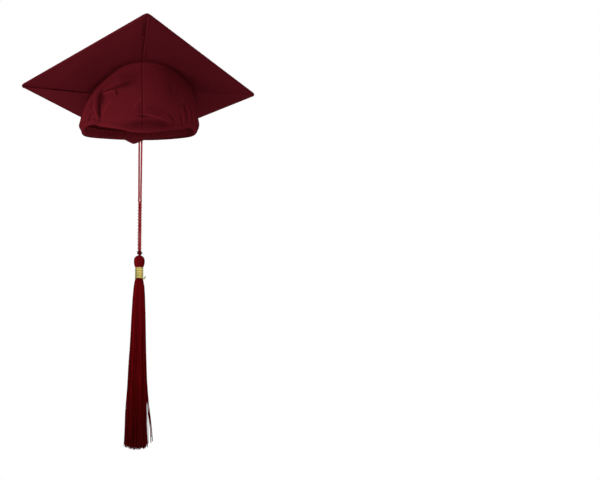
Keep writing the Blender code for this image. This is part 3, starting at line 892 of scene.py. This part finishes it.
def fold_field(turn, up):
    """(how far the cloth stands out, its painted shade and light) at each point of the wall."""
    degrees = from_brow(turn)
    out = np.zeros_like(up)
    shade = np.zeros_like(up)
    flat = np.stack([np.radians(degrees) * WALL_RADIUS, up], axis=-1)
    for raised, (first, last), tone, line in FOLDS:
        line = np.array([(math.radians(d) * WALL_RADIUS, mm / 1000) for d, mm in line])
        near, along = nearest(flat, line)
        ends = smooth(np.minimum(along, 1 - along) / 0.22) * 0.7 + 0.3
        width = (first * (1 - along) + last * along) / 1000
        shape = bump_at(near, 0.0, width) * ends
        out += raised / 1000 * shape
        shade += tone * shape
    rise = 0.12 + 0.88 * smooth(up / 0.012)
    for centre, lean, length, width, raised in GATHERS:
        away = np.radians(np.mod(degrees - centre - lean * up * 1000 + 180, 360) - 180) * WALL_RADIUS
        reach = rise * smooth(1 - up / length)
        shape = bump_at(away, 0.0, width * (1 + 22 * up)) * reach
        out += raised * shape
        # Painted light on each gather and painted shade in a band beside it
        shade += 0.13 * (shape - 0.3 * reach * smooth(1 - np.abs(away) / 0.006))

    # The seams at the centre front and back, and the ridge of the turning beside the front one, with painted
    # shade in the seams and a painted highlight on the ridge
    front = np.abs(degrees) < 90
    seam = np.radians(np.minimum(np.abs(degrees), 180 - np.abs(degrees))) * WALL_RADIUS
    ridge = bump_at(np.radians(np.where(front, degrees, 0.0)) * WALL_RADIUS, 0.0021, 0.0009) * front
    deep = 0.35 + 0.65 * smooth((up - 0.020) / 0.012)
    out += deep * (0.0004 * ridge - 0.0007 * bump_at(seam, 0.0, 0.0009))
    shade += deep * (0.18 * ridge - 0.24 * bump_at(seam, 0.0, 0.0008))
    fade = smooth((rim_drop(turn) - GAP - up) / 0.010)
    # Painted shade on the underside of the rolled hem at the back
    shade += -0.55 * smooth((0.0020 - up) / 0.0012) * smooth((np.abs(degrees) - 95) / 20)
    return out * fade, shade * (0.3 + 0.7 * fade)


def fall_in(turn, share):
    """How far the soft cloth falls in at each side of the brow, where nothing holds it out."""
    degrees, share = from_brow(turn), np.clip(share, 0, 1)
    return bumps(degrees, FALLS) * share**FALL_RISE - bumps(degrees, [FORWARD]) * share**3


def wall(turn, inset, up, out=0.0):
    """Points of the wall: inset is measured in from its outer face, and up from the rim."""
    height = rim_drop(turn) - GAP
    lift = rim_lift(turn)
    pinch = hem_pinch(turn, up)
    up = lift + up * (height - lift) / height
    share = up / height
    skew = HEM_SKEW * smooth(0.2 - 0.9 * np.cos(turn)) * np.clip(1 - share, 0, 1) ** 1.3
    half_width = SKULL_RIM_HALF[0] * (1 - share) + SKULL_TOP_HALF[0] * share
    half_depth = SKULL_RIM_HALF[1] * (1 - share) + SKULL_TOP_HALF[1] * share
    centre = SKULL_RIM_CENTRE_Y * (1 - share) + SKULL_TOP_CENTRE_Y * share
    away = SKULL_BULGE * np.sin(np.pi * np.clip(share, 0, 1)) - fall_in(turn, share) - inset + out - pinch
    x = (half_width + away) * np.sin(turn) - skew
    y = centre - (half_depth + away) * np.cos(turn)
    return np.stack([x, y, BOARD_UNDER - GAP - height + up + 0 * turn], axis=-1)


def layer(name, start, end, columns, section, material, slot, replaces, shade_gain=1.0, ruche=None):
    """A closed layer of the wall. section gives (inset, up) at each turn, in a ring round its thickness.

    ruche gives (how far the cloth is drawn in, its painted light and shade), and most of the folds' own painted
    shade is left out.
    """
    turn = np.linspace(start, end, columns)[:, None]
    inset, up = section(turn)
    turn = np.broadcast_to(turn, up.shape)
    out, shade = fold_field(turn, np.maximum(up, 0.0))
    if ruche:
        drawn, darker = ruche(turn, up)
        out = out - drawn
        shade = shade * 0.2 + darker
    surface = Surface()
    surface.grid(wall(turn, inset, up, out), shade * shade_gain, around=True, caps=True)
    return surface.finish(name, material, slot, "cap", replaces)


def each_turn(pairs, turn):
    """The same (inset, up) pairs at every turn."""
    insets, ups = np.array(pairs).T
    return insets + 0 * turn, ups + 0 * turn


def shell_section(outer, thickness, low, rows, roll=False):
    """From the board down to low above the rim and back up on the inside, with or without a rolled edge."""
    edge = [(outer + thickness / 2, low - thickness / 2)]
    if roll:
        edge = [(outer + 0.0001, 0.0008), (outer + 0.0006, 0.0001), (outer + 0.0016, -0.0002)]
        edge += [(outer + 0.0029, 0.0), (outer + 0.0038, 0.0006), (outer + 0.0032, 0.0011)]
        edge += [(outer + 0.0018, 0.0006), (outer + thickness + 0.0001, 0.0010)]

    def section(turn):
        top = rim_drop(turn) - GAP
        ups = low + (top - low) * np.linspace(1, 0, rows)[None, :] ** 1.15
        tuck = 0.0008 * smooth((ups - top + 0.0022) / 0.0022)
        edge_in, edge_up = each_turn(edge, turn)
        insets = np.concatenate([outer + tuck, edge_in, (outer + thickness + tuck)[:, ::-1]], axis=1)
        return insets, np.concatenate([ups, edge_up, ups[:, ::-1]], axis=1)

    return section


def strip_section(pairs):
    """A section that is the same all the way round."""
    return lambda turn: each_turn(pairs, turn)


def sewn_down_ends(section, reach):
    """The same section, pressed thin and low where it starts, reach degrees from the brow."""

    def pressed(turn):
        insets, ups = section(turn)
        full = smooth((np.abs(from_brow(turn)) - reach) / 5)
        return INNER_FACE + (insets - INNER_FACE) * (0.3 + 0.7 * full), ups * (0.62 + 0.38 * full)

    return pressed


def flat_ring(outer, inner, low, high, rows=6):
    """A strip standing on edge, with rounded edges."""
    ups = [low + (high - low) * k / rows for k in range(rows + 1)]
    middle, round_off = (outer + inner) / 2, (inner - outer) / 2
    ring = [(outer, up) for up in ups[::-1]] + [(middle, low - round_off)]
    return ring + [(inner, up) for up in ups] + [(middle, high + round_off)]


def ruched(turn, up):
    """Small tight gathers of the casing round the elastic, and the casing's painted light and shade: lighter on
    the wearer's right, darker on the left and along the bottom.
    """
    degrees = from_brow(turn)
    wave = np.sin(degrees * 1.55 + 1.3 * np.sin(degrees * 0.21)) + 0.5 * np.sin(degrees * 2.7 + 2.0)
    body = smooth(up / 0.002) * smooth((HEM_HEIGHT - up) / 0.002)
    darker = -0.27 * np.sin(turn) - 0.17 * np.abs(np.sin(turn)) - 0.42 * smooth((0.0030 - up) / 0.0028)
    return 0.00005 * (wave * 0.6 + 0.7) * (0.35 + 0.65 * body), darker


# (inset, up) round the folded strip that holds the elastic, against the lining first
CASING_RING = [(INNER_FACE, up) for up in (0.0186, 0.012, 0.008, 0.004, 0.0006)]
CASING_RING += [(0.0040, -0.0002), (0.0050, 0.0001), (0.0056, 0.001), (0.0057, 0.004), (0.0056, 0.0072)]
CASING_RING += [(0.0053, 0.0105), (0.0047, 0.0140), (0.0040, 0.0172), (0.0035, 0.0194), (0.0034, 0.0188)]
CASING_RING += [(0.0036, 0.0168), (0.0043, 0.0136), (0.0049, 0.0103), (0.0052, 0.0070), (0.0052, 0.004)]
CASING_RING += [(0.0051, 0.0014), (0.0046, 0.0007), (0.0041, 0.0008), (0.0037, 0.0016), (0.0037, 0.006)]
CASING_RING += [(0.0036, 0.0105)]
CASING_START = 88


def make_skull_cap():
    """The two halves with their linings, the brow's stiffening and facing, the casing and its elastic."""
    fine, rows = ((470, 120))
    for side, start in (("left", 0.0), ("right", math.pi)):
        shell = shell_section(0.0, 0.0009, 0.0016, rows, roll=True)
        panel = layer(
            "skull_" + side, start, start + math.pi, fine, shell, SKULL, "skull_cloth",
            ["skull_panel_" + side],
        )
        shell = shell_section(0.0023, 0.0006, 0.0022, 50)
        lining = layer(
            "lining_" + side, start, start + math.pi, 200, shell, LINING, "lining_cloth",
            ["skull_lining_" + side], 0.5,
        )
    stiffening = layer(
        "brow_stiffening", -FRONT_END, FRONT_END, 200, shell_section(0.0013, 0.0007, 0.0024, 40),
        felt_finish(), "interfacing", ["brow_interfacing"], 0.0,
    )
    end = math.radians(87.5)
    strip = strip_section(flat_ring(INNER_FACE, 0.0037, 0.0014, HEM_HEIGHT))
    facing = layer("brow_facing", -end, end, 300, strip, SKULL_INSIDE_PAINTED_LIT, "skull_cloth", ["brow_hem_facing"])
    start = math.radians(CASING_START)
    folded = sewn_down_ends(strip_section(CASING_RING), CASING_START)
    casing = layer(
        "hem_casing", start, 2 * math.pi - start, 420, folded, SKULL_INSIDE_PAINTED_LIT, "skull_cloth",
        ["elastic_casing"], ruche=ruched,
    )
    start = math.radians(94)
    layer(
        "elastic", start, 2 * math.pi - start, 200, strip_section(flat_ring(0.0042, 0.0048, 0.0020, 0.0086)),
        elastic_finish(), "elastic", ["elastic_band"], 0.0, lambda turn, up: (0.0002 + 0 * up, 0 * up),
    )


def make_crown():
    """The lining under the board, drawn in round the rivet and eased into the seam."""
    surface = Surface()
    turn = circle(220)[:, None]
    edge = wall(turn, INNER_FACE, rim_drop(turn) - GAP)[..., :2]
    reach = np.linalg.norm(edge, axis=-1)
    share = np.linspace(0, 1, 60)[None, :]
    away = RIVET_HOLE + (reach - RIVET_HOLE) * share
    ease = smooth((share - 0.6) / 0.4)
    ripple = np.sin(23 * turn + 2 * np.sin(3 * turn)) + 0.5 * np.sin(37 * turn + 1.0)
    drop = 0.0004 * np.sin(np.pi * share) + 0.00028 * ease * (ripple + 1.2)
    drop = drop + 0.00022 * bump_at(away, 0.010, 0.008) * (np.cos(9 * turn) + 1)
    low = np.stack([away * edge[..., 0] / reach, away * edge[..., 1] / reach, 0.0791 - drop], axis=-1)
    # Painted shade and light that follow the ripples near the edge
    surface.doubled(low, 0.0005, -0.10 * ease * ripple, closed=True)
    crown = surface.finish("crown_lining", CROWN, "lining_cloth", "cap", ["crown_lining_disc"])


def make_stitches():
    """A row of running stitch round the hem, each stitch sunk at its ends."""
    surface = Surface()
    length, step = 0.0018, 0.0028
    up = np.full(6, 0.0075)
    sunk = np.array([-0.0003, 0.00005, 0.00018, 0.00018, 0.00005, -0.0003])
    count = int(2 * math.pi * WALL_RADIUS / step)
    for k in range(count):
        turn = 2 * math.pi * (k + 0.5) / count + np.linspace(-0.5, 0.5, 6) * length / WALL_RADIUS
        out, _ = fold_field(turn, up)
        surface.tube(wall(turn, 0.0, up, out + sunk), 0.00030, 6, -0.30)
    surface.finish("hem_stitching", THREAD, "skull_cloth", "cap")


make_crown()
make_skull_cap()
make_stitches()


# The board


def edge_distance(angle, half, corner):
    """How far a square with rounded corners reaches at this angle; its corners point along X and Y."""
    angle = np.abs(np.mod(angle, math.pi / 2) - math.pi / 4)
    centre = half - corner
    straight = half / np.cos(angle)
    along = np.cos(angle) * centre + np.sin(angle) * centre
    inside = np.maximum(along**2 - 2 * centre**2 + corner**2, 0)
    return np.where(half * np.tan(angle) < centre, straight, along + np.sqrt(inside))


def outside_skull(x, y):
    """Distance out from the line where the skull cap meets the board; it is below 0 inside."""
    y = y - SKULL_TOP_CENTRE_Y
    away = np.hypot(x, y)
    turn = np.arctan2(x, -y)
    reach = 1 / np.hypot(np.sin(turn) / SKULL_TOP_HALF[0], np.cos(turn) / SKULL_TOP_HALF[1])
    return away - reach + fall_in(turn, 1.0)


def seam_pull(x, y):
    """How far back the seam on the wearer's right is sewn: most beside the skull cap, none at the corner."""
    room = np.maximum(BOARD_SIDE / math.sqrt(2) - np.abs(x), 0.001)
    most = 0.125 * np.minimum(room, 0.096) * smooth(np.abs(x) / 0.05)
    return most * np.clip(1 - np.abs(y) / room, 0, 1) ** 1.5


def turning(away, start, end, fall):
    """1 over the seam's turning under the cloth, from the seam out to end, and 0 beyond."""
    return smooth(away / start) * smooth((end - away) / fall)


def under_field(name, x, y, pulled):
    """(height, painted shade and light) of an underside panel over its flat plane: each has its own seam edges
    and creases.
    """
    beyond = outside_skull(x, pulled)
    clear = smooth(beyond / 0.010)
    across, along = np.abs(x), np.abs(y)
    rim = BOARD_SIDE / math.sqrt(2) - across - np.abs(pulled)
    sag = -0.0010 * clear * smooth(rim / 0.030) * smooth(across / 0.02) * smooth(along / 0.02)
    height = sag + 0.0003 * np.sin(x * 71 + 1.0) * np.sin(y * 63) * clear * smooth(rim / 0.02)
    height = height + 0.0005 * np.exp(-across / 0.0007) + 0.0005 * np.exp(-along / 0.0007)
    # Painted shadow along the line where the skull cap meets the board
    shade = -0.20 * bump_at(beyond, 0.0, 0.0045) + 0 * x
    # In each panel below: painted highlights on the ridges of the seams' turnings, painted shade in the seams,
    # creases and puckers
    near_y, near_x = bump_at(across, 0.0, 0.0008), bump_at(along, 0.0, 0.0008)
    if name == "front_left":
        ridge = turning(across, 0.0006, 0.0042, 0.0026)
        height = height - 0.0008 * ridge * smooth((-y - 0.070) / 0.01)
        shade = shade + 0.22 * ridge - 0.30 * near_y
        faint = turning(along, 0.0005, 0.0030, 0.002)
        height = height - 0.0003 * faint * smooth((x - 0.075) / 0.01)
    if name == "front_right":
        pucker = bump_at(across, 0.0016, 0.0022) * bump_at(y, -0.140, 0.013)
        kink = bump_at(across, 0.0015, 0.0012) * bump_at(y, -0.124, 0.0022)
        broad = bump_at(x + 0.6 * y, -0.125, 0.012) * smooth((along - 0.015) / 0.02)
        height = height + 0.0005 * smooth((0.006 - across) / 0.006) + 0.0007 * smooth((0.007 - along) / 0.007)
        height = height + 0.0009 * pucker - 0.0008 * kink - 0.0005 * broad
        shade = shade - 0.34 * pucker + 0.25 * kink + 0.05 * broad - 0.36 * bump_at(across, 0.0, 0.0017)
        shade = shade - 0.34 * bump_at(along, 0.0, 0.0030) - 0.07 * bump_at(along, 0.0, 0.012)
    if name == "back_right":
        ridge = turning(along, 0.0005, 0.0050, 0.0036)
        height = height - 0.0007 * ridge * smooth((-x - 0.075) / 0.01)
        shade = shade + 0.12 * ridge - 0.30 * near_x
    if name == "back_left":
        ridge = turning(along, 0.0004, 0.0028, 0.0016)
        height = height - 0.0004 * ridge * smooth((x - 0.075) / 0.01)
        shade = shade + 0.18 * ridge
    return np.minimum(height, 0.0006), shade


SEAM_LAP = 0.0004
# How light each underside panel is painted, on its own copy of the board cloth: painted light, lightest at the
# back on the wearer's right and darkest at the front on the wearer's left
PANEL_PAINTED_LIGHT = {"front_left": 0.93, "front_right": 1.0, "back_left": 1.05, "back_right": 1.14}


def make_underside():
    """Four panels, each a quarter of the board, that lap a little at the seams along the diagonals."""
    half = BOARD_SIDE / 2 - CLOTH - GAP + SEAM_LAP * math.sqrt(2)
    share = np.linspace(0, 1, 150)
    side = 0.5 - 0.5 * np.cos(math.pi * share)
    angle = (math.pi / 2 * (0.35 * share + 0.65 * side))[:, None]
    away = np.linspace(0.022, 1, 170)[None, :] * edge_distance(angle, half, BOARD_CORNER - CLOTH - GAP)
    for name, (sx, sy) in {
        "front_left": (1, -1), "front_right": (-1, -1), "back_left": (1, 1), "back_right": (-1, 1)
    }.items():
        x = sx * (away * np.cos(angle) - SEAM_LAP)
        y = sy * (away * np.sin(angle) - SEAM_LAP)
        pulled = y + (seam_pull(x, y) if sx < 0 else 0.0)
        height, shade = under_field(name, x, y, pulled)
        surface = Surface()
        low = np.stack([x, pulled, BOARD_UNDER - 0.0002 + height], axis=-1)
        surface.doubled(low, 0.0004, shade, caps=True)
        material = cloth_finish("board_cloth_" + name, BOARD_RED, False, tone=PANEL_PAINTED_LIGHT[name])
        replaced = ["underside_panel_" + name]
        panel = surface.finish("underside_" + name, material, "board_cloth", "cap", replaced)


def make_cover():
    """The board's top cloth, drawn round its edge and a little under it."""
    surface = Surface()
    turn = circle(520)[:, None]
    corner_pull = bump_at(np.mod(turn + math.pi / 4, math.pi / 2), math.pi / 4, 0.035)
    reach = edge_distance(turn, BOARD_SIDE / 2, BOARD_CORNER)
    away = RIVET_HOLE + (reach - RIVET_HOLE - 0.0017) * np.linspace(0.010, 1, 90)[None, :]
    x, y = away * np.cos(turn), away * np.sin(turn)
    edge = reach - away
    near = bump_at(away, 0.019, 0.010) * np.cos(8 * turn + 1.0)
    height = 0.00018 * np.sin(x * 60 + 0.7) * np.sin(y * 52 + 0.4) * smooth(edge / 0.02)
    height = height + 0.00016 * near - 0.00025 * smooth((0.004 - edge) / 0.004)
    height = height + 0.00022 * bump_at(edge, 0.0050, 0.0022)
    # Painted shade round the button, painted light and shade on the small creases near it, and the cloth a
    # little lighter along the edge
    shade = -0.10 * bump_at(away, BUTTON_RADIUS, 0.003) + 0.07 * bump_at(edge, 0.0010, 0.0015) + 0.04 * near
    top = np.stack([x, y, BOARD_TOP + height], axis=-1)
    inner = np.stack([x, y, BOARD_TOP - CLOTH + height * 0.3], axis=-1)
    side_out = np.array([-0.0009, -0.0003, 0.0, 0.0, -0.0003, -0.0009])
    side_up = np.array([-0.00035, -0.0008, -0.0015, -0.0022, -0.0029, -0.0033])
    tuck_out = np.array([-0.0014, -0.0011, -0.0007, -0.0006, -0.0009])
    tuck_up = np.array([-0.0032, -0.0026, -0.0018, -0.0012, -0.0007])
    pleat = 0.00035 * corner_pull * np.cos(turn * 180)
    side = polar(reach + side_out + pleat, turn, BOARD_TOP + side_up)
    tuck = polar(reach + tuck_out, turn, BOARD_TOP + tuck_up)
    ring = np.concatenate([top, side, tuck, inner[:, ::-1]], axis=1)
    shades = np.zeros(ring.shape[:2])
    first, last = top.shape[1], top.shape[1] + side.shape[1]
    shades[:, :first] = shade
    # The sides a little lighter, with painted shade in the pleats at the corners
    shades[:, first:last] = 0.10 - 0.3 * corner_pull * np.abs(np.cos(turn * 90))
    surface.grid(ring, shades, around=True, closed=True)
    cover = surface.finish("board_cover", BOARD, "board_cloth", "cap", ["board_top_cover"])


def make_button():
    """Cloth drawn over a domed shell, with small pleats where it turns under."""
    surface = Surface()
    turn = circle(180)[:, None]
    edge = BUTTON_BOTTOM + CLOTH + GAP
    top = BUTTON_BOTTOM + BUTTON_HEIGHT
    angles = np.linspace(0.04, math.pi / 2, 26)[None, :]
    back = angles[:, ::-1]
    pleat = np.cos(26 * turn + 1.5 * np.sin(5 * turn)) + 0.4 * np.cos(11 * turn)
    pleat = pleat * smooth((angles - 0.9) / 0.6)
    # Away from the axis and up from the button's bottom, where the cloth turns under and ends
    turned = [(0.0113, 0.0005), (0.0108, 0.0001), (0.0096, 0), (0.0080, 0), (0.0080, CLOTH), (0.0100, CLOTH)]
    under_away, under_up = each_turn(turned, turn)
    dome_away = (BUTTON_RADIUS + 0.00012 * pleat) * np.sin(angles)
    dome_up = edge + (top - edge) * np.cos(angles) + 0 * turn
    inner_away = (BUTTON_RADIUS - CLOTH) * np.sin(back) + 0 * turn
    inner_up = edge + (top - CLOTH - edge) * np.cos(back) + 0 * turn
    away = np.concatenate([dome_away, under_away, inner_away], axis=1)
    up = np.concatenate([dome_up, BUTTON_BOTTOM + under_up, inner_up], axis=1)
    shades = np.zeros(away.shape)
    # Painted shade and light that follow the pleats
    shades[:, : pleat.shape[1]] = -0.10 * pleat
    surface.grid(polar(away, turn, up), shades, around=True, closed=True)
    cover = surface.finish("button_cloth_cover", BUTTON, "button_cloth", "cap", ["button_cover"])


make_underside()
make_cover()
make_button()


dress(card_finish(), "board_stiffener")
dress(steel_finish(), "button_shell", "button_back_plate", "button_rivet", "rivet_washer")


# Light, floor and background


def area_light(name, place, aim, size, power):
    data = bpy.data.lights.new(name, "AREA")
    data.shape = "DISK"
    data.size = size
    data.energy = power
    light = new_object(name, data)
    light.location = place
    light.rotation_euler = (Vector(aim) - Vector(place)).to_track_quat("-Z", "Y").to_euler()


def make_studio():
    """Three lights, and a white background that lights the object more softly than it is seen."""
    area_light("key", (-1.12, -0.86, -0.36), (0, 0, 0), 0.5, 12)
    area_light("under_fill", (0.0, -1.3, -1.0), (0, 0, 0.05), 0.8, 6.6)
    area_light("top", (0.2, -0.3, 1.6), (0, 0, 0), 1.4, 18)
    world = bpy.data.worlds.new("studio")
    world.use_nodes = True
    bpy.context.scene.world = world
    nodes, links = world.node_tree.nodes, world.node_tree.links
    shown, soft = nodes["Background"], nodes.new("ShaderNodeBackground")
    for background, strength in ((shown, 1.0), (soft, 0.42)):
        background.inputs["Color"].default_value = (1, 1, 1, 1)
        background.inputs["Strength"].default_value = strength
    rays = nodes.new("ShaderNodeLightPath")
    mix = nodes.new("ShaderNodeMixShader")
    links.new(rays.outputs["Is Camera Ray"], mix.inputs[0])
    links.new(soft.outputs[0], mix.inputs[1])
    links.new(shown.outputs[0], mix.inputs[2])
    links.new(mix.outputs[0], nodes["World Output"].inputs["Surface"])
    bpy.context.scene.view_settings.view_transform = "Standard"


def make_floor():
    """A pale floor, far enough below to catch no clear shadow of the hanging object."""
    bm = bmesh.new()
    bmesh.ops.create_circle(bm, cap_ends=True, segments=96, radius=9.0)
    bmesh.ops.translate(bm, verts=bm.verts, vec=(0, 0, -1.7))
    mesh = bpy.data.meshes.new("floor")
    bm.to_mesh(mesh)
    bm.free()
    pale = Finish("floor", Roughness=0.9)
    pale.colour(pale.mixed(pale.noise(3.0), (0.93, 0.93, 0.93), (0.95, 0.95, 0.95)))
    mesh.materials.append(pale.material)
    new_object("floor", mesh)


make_studio()
make_floor()
